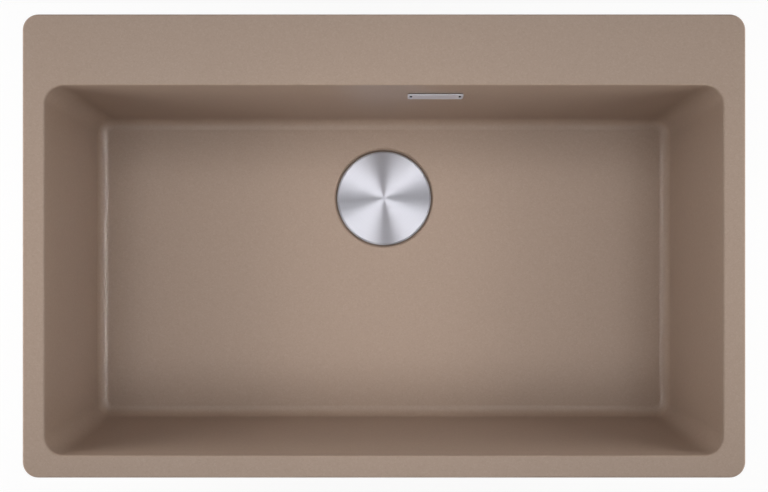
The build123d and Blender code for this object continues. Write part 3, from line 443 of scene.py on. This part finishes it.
def moulded_polymer(name, colour, grain, bump_depth, roughness, ior):
    """Moulded plastic, rubber or foam; grain is its skin texture's size in millimetres."""
    material, tree = blank_material(name)
    place = add_node(tree, "TexCoord").outputs["Object"]
    skin = add_node(tree, "TexNoise", {"Scale": 1 / (grain * MM), "Detail": 2.0}, {"Vector": place})
    # Slow clouds of 25 mm: flow marks and handling dust
    clouds = add_node(tree, "TexNoise", {"Scale": 1 / (25 * MM), "Detail": 3.0}, {"Vector": place})
    paler = [c + 0.12 * (1 - c) * c for c in colour]
    tint = add_node(
        tree,
        "Mix",
        {"data_type": "RGBA", 6: opaque([0.93 * c for c in colour]), 7: opaque(paler)},
        {0: clouds.outputs[0]},
    )
    low, high = roughness
    gloss = add_node(tree, "MapRange", {"To Min": low, "To Max": high}, {"Value": skin.outputs[0]})
    bump = add_node(
        tree, "Bump", {"Strength": 0.3, "Distance": bump_depth * MM}, {"Height": skin.outputs[0]}
    )
    shader = add_node(
        tree,
        "BsdfPrincipled",
        {"IOR": ior},
        {"Base Color": tint.outputs[2], "Roughness": gloss.outputs[0], "Normal": bump.outputs[0]},
    )
    add_node(tree, "OutputMaterial", links={"Surface": shader.outputs[0]})
    return material


def black_rubber():
    """Moulded nitrile rubber: near black, dry and dull, with a faint bloom."""
    colour = bpy.context.scene.sink_colours.rubber
    return moulded_polymer("moulded_black_rubber", colour, 0.6, 0.04, (0.68, 0.85), 1.52)


def grey_foam():
    """Closed-cell foam cord: grey, pitted with fine cells, no gloss."""
    colour = bpy.context.scene.sink_colours.foam
    return moulded_polymer("closed_cell_grey_foam", colour, 0.7, 0.35, (0.88, 0.98), 1.45)


def white_polypropylene():
    """Injection-moulded polypropylene: milky white with a waxy half gloss."""
    colour = bpy.context.scene.sink_colours.white_plastic
    return moulded_polymer("moulded_white_polypropylene", colour, 0.5, 0.02, (0.34, 0.46), 1.49)


def hose_polypropylene():
    """Blow-moulded corrugated hose: pale grey with a slightly oily gloss."""
    colour = bpy.context.scene.sink_colours.hose_plastic
    return moulded_polymer("blow_moulded_grey_polypropylene", colour, 0.8, 0.03, (0.36, 0.5), 1.49)


def black_plastic():
    """Injection-moulded black plastic with a fine spark-eroded skin."""
    colour = bpy.context.scene.sink_colours.black_plastic
    return moulded_polymer("moulded_black_plastic", colour, 0.4, 0.03, (0.42, 0.56), 1.53)


FINISHES = {}


def finish(maker):
    """The finish that a function makes, made the first time that a piece asks for it."""
    if maker not in FINISHES:
        FINISHES[maker] = maker()
    return FINISHES[maker]


def dress(maker, *nodes):
    """Gives CAD nodes a finish in place of the one that came with the model."""
    for name in nodes:
        for slot in frame["nodes"][name].material_slots:
            slot.material = finish(maker)


def add_piece(name, points, faces, maker, body="sink"):
    """A new closed mesh, its faces turned outwards, that rides on a body."""
    mesh = bpy.data.meshes.new(name)
    mesh.from_pydata(points, [], faces)
    skin = bmesh.new()
    skin.from_mesh(mesh)
    bmesh.ops.recalc_face_normals(skin, faces=skin.faces)
    skin.to_mesh(mesh)
    skin.free()
    mesh.shade_smooth()
    mesh.set_sharp_from_angle(angle=CRISP_EDGE)
    mesh.materials.append(finish(maker))
    piece = bpy.data.objects.new(name, mesh)
    bpy.context.scene.collection.objects.link(piece)
    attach(piece, body)
    return piece


def ring_faces(rings, size):
    """Faces of a closed tube of rings, the last joined to the first; each ring has size points."""
    faces = []
    for ring in range(rings):
        ahead = (ring + 1) % rings
        for k in range(size):
            turn = (k + 1) % size
            faces.append((ring * size + k, ahead * size + k, ahead * size + turn, ring * size + turn))
    return faces


def smooth_line(points):
    """Points along the smooth spline that a few control points give."""
    curve = bpy.data.curves.new("line", "CURVE")
    curve.dimensions = "3D"
    curve.resolution_u = 40
    spline = curve.splines.new("NURBS")
    spline.points.add(len(points) - 1)
    for target, point in zip(spline.points, points):
        target.co = (*point, 1)
    spline.order_u = 3
    spline.use_endpoint_u = True
    holder = bpy.data.objects.new("line", curve)
    mesh = bpy.data.meshes.new_from_object(holder)
    line = [v.co.copy() for v in mesh.vertices]
    bpy.data.objects.remove(holder)
    bpy.data.curves.remove(curve)
    bpy.data.meshes.remove(mesh)
    return line


def stations(line, distances):
    """Point and direction at each distance along a line of points, and the line's length."""
    reached = [0.0]
    for a, b in zip(line, line[1:]):
        reached.append(reached[-1] + (b - a).length)
    found = []
    for wanted in distances:
        k = 0
        while k < len(line) - 2 and reached[k + 1] < wanted:
            k += 1
        share = (wanted - reached[k]) / (reached[k + 1] - reached[k])
        before = line[k] - line[k - 1] if k else line[1] - line[0]
        ahead = line[k + 1] - line[k]
        heading = before.normalized().lerp(ahead.normalized(), min(max(share, 0.0), 1.0))
        found.append((line[k].lerp(line[k + 1], share), heading.normalized()))
    return found, reached[-1]


def thread_ridge(axis, radius, height, pitch, low, high, steps):
    """Points and faces of a helical thread ridge that rises out of a round bar and fades at both ends."""
    turns = (high - low - pitch) / pitch
    count = int(turns * steps)
    # Half the ridge's width at its foot and at its crest, in pitches
    foot, crest = 0.46, 0.1
    points = []
    for k in range(count + 1):
        angle = 2 * pi * k / steps
        fade = min(1.0, k / steps * 2, (count - k) / steps * 2)
        level = low + pitch / 2 + pitch * k / steps
        out = Vector((cos(angle), sin(angle), 0))
        top = height * fade
        for reach, rise in ((-height, -foot), (top, -crest), (top, crest), (-height, foot)):
            points.append(axis + out * (radius + reach) + UP * (level + rise * pitch))
    faces = [(0, 1, 2, 3)]
    for k in range(count):
        a, b = 4 * k, 4 * k + 4
        faces += [(a + i, b + i, b + (i + 1) % 4, a + (i + 1) % 4) for i in range(4)]
    end = 4 * count
    faces.append((end + 3, end + 2, end + 1, end))
    return points, faces


class SINK_OT_granite_bowl(Operator):
    """Cast granite composite on the bowl"""

    bl_idname = "sink.granite_bowl"
    bl_label = "Granite bowl"

    def execute(self, context):
        dress(granite_composite, "sink_bowl")
        return {"FINISHED"}


class SINK_OT_waste_cover(Operator):
    """Spun steel cover with its plastic socket and grip ring"""

    bl_idname = "sink.waste_cover"
    bl_label = "Waste cover"

    def execute(self, context):
        dress(spun_stainless, "cover_disc")
        dress(black_plastic, "cover_socket")
        dress(black_rubber, "cover_grip_ring")
        return {"FINISHED"}


class SINK_OT_strainer(Operator):
    """Lift-out strainer basket with its stem, knob and stopper"""

    bl_idname = "sink.strainer"
    bl_label = "Strainer"

    def execute(self, context):
        dress(drawn_stainless, "strainer_basket")
        dress(brushed_stainless, "stopper_plate")
        dress(turned_stainless, "strainer_stem", "strainer_knob", "strainer_spacer", "strainer_nut")
        dress(black_rubber, "stopper_seal")
        return {"FINISHED"}


class SINK_OT_waste(Operator):
    """Waste cup, its seals and the waste body under the bowl, with the outlet's thread"""

    bl_idname = "sink.waste"
    bl_label = "Waste"

    def execute(self, context):
        sizes = context.scene.sink_sizes
        dress(drawn_stainless, "waste_cup")
        dress(black_rubber, "waste_flange_seal", "waste_body_seal")
        dress(white_polypropylene, "waste_body")
        dress(turned_brass, "waste_insert")
        dress(turned_stainless, "waste_screw")
        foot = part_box("waste_body")[0].z
        axis = Vector((WASTE.x, WASTE.y, 0))
        low, high = foot + OUTLET_THREAD_START, foot + OUTLET_THREAD_END
        points, faces = thread_ridge(
            axis, OUTLET_RADIUS, OUTLET_RIDGE, sizes.outlet_pitch, low, high, steps=72
        )
        add_piece("outlet_thread", points, faces, white_polypropylene)
        return {"FINISHED"}


class SINK_OT_overflow(Operator):
    """Overflow plate, frame and housing in the back wall, with the hose's nuts and seals"""

    bl_idname = "sink.overflow"
    bl_label = "Overflow"

    def execute(self, context):
        dress(blasted_stainless, "overflow_cover")
        dress(black_plastic, "overflow_frame")
        dress(turned_stainless, "overflow_screws")
        dress(black_rubber, "overflow_rear_seal", "overflow_upper_seal", "overflow_lower_seal")
        dress(white_polypropylene, "overflow_housing", "overflow_upper_nut", "overflow_lower_nut")
        return {"FINISHED"}


class SINK_OT_overflow_hose(Operator):
    """Corrugated hose from the overflow housing down to the waste body"""

    bl_idname = "sink.overflow_hose"
    bl_label = "Overflow hose"

    def execute(self, context):
        sizes = context.scene.sink_sizes
        controls, out = self.route(sizes)
        line = smooth_line(controls)
        length = stations(line, [])[1]
        rings = self.rings(sizes, length)
        places = stations(line, [distance for distance, radius in rings])[0]
        side = Vector((-out.y, out.x, 0))
        segments = 56
        points = []
        for (centre, heading), (distance, radius) in zip(places, rings):
            cross = heading.cross(side)
            for k in range(segments):
                angle = 2 * pi * k / segments
                points.append(centre + (side * cos(angle) + cross * sin(angle)) * radius)
        hose = add_piece(
            "corrugated_hose",
            points,
            ring_faces(len(rings), segments),
            hose_polypropylene,
        )
        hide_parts("overflow_hose")
        return {"FINISHED"}

    def route(self, sizes):
        """Control points of the hose's middle line, up from the waste body, and its way out from there."""
        low = middle("overflow_lower_seal")
        high = middle("overflow_upper_seal")
        seal_low, seal_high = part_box("overflow_upper_seal")
        half_seal = (seal_high.z - seal_low.z) / 2
        out = Vector((high.x - WASTE.x, high.y - WASTE.y, 0)).normalized()
        start = low + out * half_seal
        end = high - UP * half_seal
        corner = Vector((high.x, high.y, low.z))
        bend = (corner - start).length - sizes.hose_straight
        ease = bend * tan(pi / 8)
        controls = [
            start,
            corner - out * (bend + ease),
            corner - out * (bend - ease),
            corner + UP * (bend - ease),
            corner + UP * (bend + ease),
            end,
        ]
        return controls, out

    def rings(self, sizes, length):
        """Distance along the hose and radius of each ring, out along the ribs and back down the bore."""
        flange = sizes.hose_flange_length
        ribs = int((length - 2 * sizes.hose_cuff) / sizes.rib_pitch)
        first = (length - ribs * sizes.rib_pitch) / 2
        outside = [(0, sizes.hose_flange), (flange, sizes.hose_flange), (flange, sizes.hose_root)]
        steps = 10
        roundness = 0.7
        for k in range(ribs * steps + 1):
            swell = (0.5 - 0.5 * cos(2 * pi * k / steps)) ** roundness
            radius = sizes.hose_root + (sizes.hose_crest - sizes.hose_root) * swell
            outside.append((first + sizes.rib_pitch * k / steps, radius))
        outside += [(length - flange, sizes.hose_root), (length - flange, sizes.hose_flange)]
        outside.append((length, sizes.hose_flange))
        bore_rings = 60
        bore = [(length * k / bore_rings, sizes.hose_bore) for k in range(bore_rings, -1, -1)]
        return outside + bore


class SINK_OT_rim_seal(Operator):
    """Foam cord in the groove under the rim"""

    bl_idname = "sink.rim_seal"
    bl_label = "Rim seal"

    def execute(self, context):
        width = context.scene.sink_sizes.cord_width
        low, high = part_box("rim_seal")
        depth = high.z - low.z
        # Section of the cord: a circle stretched past its box and cut off there, so its sides are flat
        around, stretch = 16, 1.25
        profile = []
        for k in range(around):
            angle = 2 * pi * k / around
            across = width / 2 * max(-1, min(1, stretch * cos(angle)))
            rise = depth / 2 * (1 + max(-1, min(1, stretch * sin(angle))))
            profile.append((across, low.z + rise))
        bend_steps = 8
        straight = high - Vector((1, 1, 0)) * (GROOVE_INSET + GROOVE_CORNER)
        points = []
        for sx, sy, start in ((1, 1, 0), (-1, 1, 90), (-1, -1, 180), (1, -1, 270)):
            centre = Vector((sx * straight.x, sy * straight.y, 0))
            for k in range(bend_steps + 1):
                angle = radians(start + 90 * k / bend_steps)
                out = Vector((cos(angle), sin(angle), 0))
                points += [centre + out * (GROOVE_CORNER + across) + UP * z for across, z in profile]
        faces = ring_faces(len(points) // around, around)
        cord = add_piece("foam_rim_cord", points, faces, grey_foam)
        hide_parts("rim_seal")
        return {"FINISHED"}


class SINK_OT_fixing_clips(Operator):
    """Swivelling clips, their screws with threads, and the brass inserts in the posts"""

    bl_idname = "sink.fixing_clips"
    bl_label = "Fixing clips"

    def execute(self, context):
        sizes = context.scene.sink_sizes
        clips = sorted(name for name in frame["nodes"] if name.startswith("fixing_clip_"))
        dress(zinc_plated_steel, "clip_screws", *clips)
        dress(turned_brass, "clip_inserts")
        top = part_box("clip_inserts")[0].z
        points, faces = [], []
        for joint in frame["joints"]:
            if not joint["name"].startswith("clip_"):
                continue
            axis = Vector((joint["pos_m"][0], joint["pos_m"][1], 0))
            base = joint["pos_m"][2] + SCREW_THREAD_START
            ridge, skins = thread_ridge(
                axis, SCREW_RADIUS, SCREW_RIDGE, sizes.screw_pitch, base, top, steps=20
            )
            faces += [tuple(len(points) + k for k in face) for face in skins]
            points += ridge
        add_piece("clip_screw_threads", points, faces, zinc_plated_steel)
        return {"FINISHED"}


class SINK_OT_stage(Operator):
    """Pale floor, softboxes, soft sky and the camera straight above the bowl"""

    bl_idname = "sink.stage"
    bl_label = "Stage"

    def execute(self, context):
        stage = context.scene.sink_stage
        context.scene.view_settings.view_transform = "Standard"
        self.sky(context.scene, stage)
        self.floor()
        self.lamps(stage)
        self.pool(stage)
        self.camera(context.scene, stage)
        return {"FINISHED"}

    def lamps(self, stage):
        """Gridded softboxes for the bowl's floor, side softboxes for its walls and strips for its folds."""
        far = stage.lamp_distance
        cover_level = Vector((0, 0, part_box("cover_disc")[1].z))
        for degrees in BEAM_AZIMUTHS:
            azimuth = stage.beam_turn + radians(degrees)
            beam = self.softbox(azimuth, stage.beam_elevation, far, cover_level, BEAM_SIZE)
            beam.data.energy = stage.beam_power
            beam.data.spread = stage.beam_spread
        for azimuth, power in ((0, stage.right_power), (pi, stage.left_power)):
            side = self.softbox(azimuth, stage.side_elevation, stage.side_distance, Vector(), SIDE_SIZE)
            side.data.energy = power
            side.visible_glossy = False
        # Each strip only puts a gloss line along the fold across from it
        left_fold = Vector((-FOLD.x, FOLD.y, FOLD.z))
        strips = ((0, left_fold, stage.left_fold_power), (pi, FOLD, stage.right_fold_power))
        for azimuth, target, power in strips:
            strip = self.softbox(azimuth, stage.fold_elevation, far, target, STRIP_SIZE)
            strip.data.energy = power
            strip.data.spread = STRIP_SPREAD
            strip.visible_diffuse = False

    def camera(self, scene, stage):
        """Camera straight above the middle of the rim, looking down."""
        camera = bpy.data.cameras.new("camera")
        camera.lens = camera.sensor_width * stage.camera_height / stage.view_width
        eye = bpy.data.objects.new("camera", camera)
        eye.location = (0, 0, CAD_BOX[1].z + stage.camera_height)
        scene.collection.objects.link(eye)
        scene.camera = eye

    def sky(self, scene, stage):
        """Light from the horizon and from overhead, and a white background low down that is only seen."""
        world = bpy.data.worlds.new("studio")
        world.use_nodes = True
        tree = world.node_tree
        tree.nodes.clear()
        place = add_node(tree, "TexCoord").outputs["Generated"]
        level = add_node(tree, "SeparateXYZ", links={0: place}).outputs["Z"]
        # Sines of the elevations between which the light changes from one band of the sky to the next
        horizon_end, sky_start, sky_end, overhead_start = 0.17, 0.24, 0.82, 0.88
        ramp = add_node(tree, "ValToRGB", links={"Fac": level})
        stops = ramp.color_ramp.elements
        stops[0].position, stops[1].position = horizon_end, overhead_start
        stops.new(sky_start)
        stops.new(sky_end)
        for stop, strength in zip(stops, (stage.horizon, stage.sky, stage.sky, stage.overhead)):
            stop.color = (strength, strength, strength, 1)
        # White up to 30 degrees above level, and faded out at 37
        low = add_node(
            tree,
            "MapRange",
            {"From Min": 0.5, "From Max": 0.6, "To Min": 1.0, "To Max": 0.0},
            {"Value": level},
        )
        shown = add_node(
            tree, "Math", {"operation": "MULTIPLY"}, {0: low.outputs[0], 1: seen_or_mirrored(tree)}
        )
        colour = add_node(
            tree,
            "Mix",
            {"data_type": "RGBA", 7: WHITE},
            {0: shown.outputs[0], 6: ramp.outputs[0]},
        )
        light = add_node(tree, "Background", links={"Color": colour.outputs[2]})
        add_node(tree, "OutputWorld", links={"Surface": light.outputs[0]})
        scene.world = world

    def floor(self):
        """White floor that keeps a faint shadow, and lets the camera look up through it from below."""
        material, tree = blank_material("white_studio_floor")
        paper = add_node(tree, "BsdfDiffuse", {"Color": (0.8, 0.8, 0.8, 1)})
        # What is seen of the floor is mostly its own white, with a little of the light for the shadow
        faint = add_node(tree, "BsdfDiffuse", {"Color": (0.14, 0.14, 0.14, 1)})
        # Full white further out, so that the floor's far edge doesn't show against the sky
        place = add_node(tree, "TexCoord").outputs["Object"]
        away = add_node(tree, "VectorMath", {"operation": "LENGTH"}, {0: place})
        strength = add_node(
            tree,
            "MapRange",
            {"From Min": 0.6, "From Max": 2.0, "To Min": 0.88, "To Max": 1.0},
            {"Value": away.outputs["Value"]},
        )
        white = add_node(tree, "Emission", {"Color": WHITE}, {"Strength": strength.outputs[0]})
        shown = add_node(tree, "AddShader", links={0: faint.outputs[0], 1: white.outputs[0]})
        face = add_node(
            tree, "MixShader", links={0: seen_or_mirrored(tree), 1: paper.outputs[0], 2: shown.outputs[0]}
        )
        under = add_node(tree, "NewGeometry").outputs["Backfacing"]
        clear = add_node(tree, "BsdfTransparent")
        either = add_node(tree, "MixShader", links={0: under, 1: face.outputs[0], 2: clear.outputs[0]})
        add_node(tree, "OutputMaterial", links={"Surface": either.outputs[0]})
        level = CAD_BOX[0].z - FLOOR_GAP
        corners = [(x * FLOOR_REACH, y * FLOOR_REACH, level) for x, y in ((-1, -1), (1, -1), (1, 1), (-1, 1))]
        mesh = bpy.data.meshes.new("floor")
        mesh.from_pydata(corners, [], [(0, 1, 2, 3)])
        mesh.materials.append(material)
        floor = bpy.data.objects.new("floor", mesh)
        bpy.context.scene.collection.objects.link(floor)

    def softbox(self, azimuth, elevation, distance, target, size):
        """Soft lamp in a direction from the middle of the sink, turned to a target."""
        lamp = bpy.data.lights.new("softbox", "AREA")
        lamp.shape = "RECTANGLE"
        lamp.size, lamp.size_y = size
        level = cos(elevation)
        towards = Vector((cos(azimuth) * level, sin(azimuth) * level, sin(elevation)))
        holder = bpy.data.objects.new("softbox", lamp)
        holder.location = towards * distance
        holder.rotation_euler = (holder.location - target).to_track_quat("Z", "Y").to_euler()
        bpy.context.scene.collection.objects.link(holder)
        return holder

    def pool(self, stage):
        """Lamp straight above that brightens the bowl's floor and leaves the steel's reflections alone."""
        lamp = bpy.data.lights.new("pool", "SPOT")
        lamp.spot_size = stage.pool_angle
        lamp.spot_blend = 1.0
        lamp.shadow_soft_size = POOL_RADIUS
        lamp.energy = stage.pool_power
        holder = bpy.data.objects.new("pool", lamp)
        holder.location = (0, POOL_PLACE, stage.lamp_distance)
        holder.visible_glossy = False
        bpy.context.scene.collection.objects.link(holder)


class VIEW3D_PT_sink(Panel):
    """Steps and settings of the sink"""

    bl_label = "Inset sink"
    bl_space_type = "VIEW_3D"
    bl_region_type = "UI"
    bl_category = "Sink"

    def draw(self, context):
        for step in STEPS:
            self.layout.operator(step.bl_idname)
        for group in (context.scene.sink_colours, context.scene.sink_sizes, context.scene.sink_stage):
            for name in group.__annotations__:
                self.layout.prop(group, name)


STEPS = (
    SINK_OT_granite_bowl,
    SINK_OT_waste_cover,
    SINK_OT_strainer,
    SINK_OT_waste,
    SINK_OT_overflow,
    SINK_OT_overflow_hose,
    SINK_OT_rim_seal,
    SINK_OT_fixing_clips,
    SINK_OT_stage,
)
CLASSES = (SinkColours, SinkSizes, SinkStage, *STEPS, VIEW3D_PT_sink)


def register():
    for each in CLASSES:
        bpy.utils.register_class(each)
    bpy.types.Scene.sink_colours = PointerProperty(type=SinkColours)
    bpy.types.Scene.sink_sizes = PointerProperty(type=SinkSizes)
    bpy.types.Scene.sink_stage = PointerProperty(type=SinkStage)


def unregister():
    del bpy.types.Scene.sink_stage
    del bpy.types.Scene.sink_sizes
    del bpy.types.Scene.sink_colours
    for each in reversed(CLASSES):
        bpy.utils.unregister_class(each)


def main():
    register()
    bpy.ops.sink.granite_bowl()
    bpy.ops.sink.waste_cover()
    bpy.ops.sink.strainer()
    bpy.ops.sink.waste()
    bpy.ops.sink.overflow()
    bpy.ops.sink.overflow_hose()
    bpy.ops.sink.rim_seal()
    bpy.ops.sink.fixing_clips()
    bpy.ops.sink.stage()


if __name__ == "__main__":
    main()
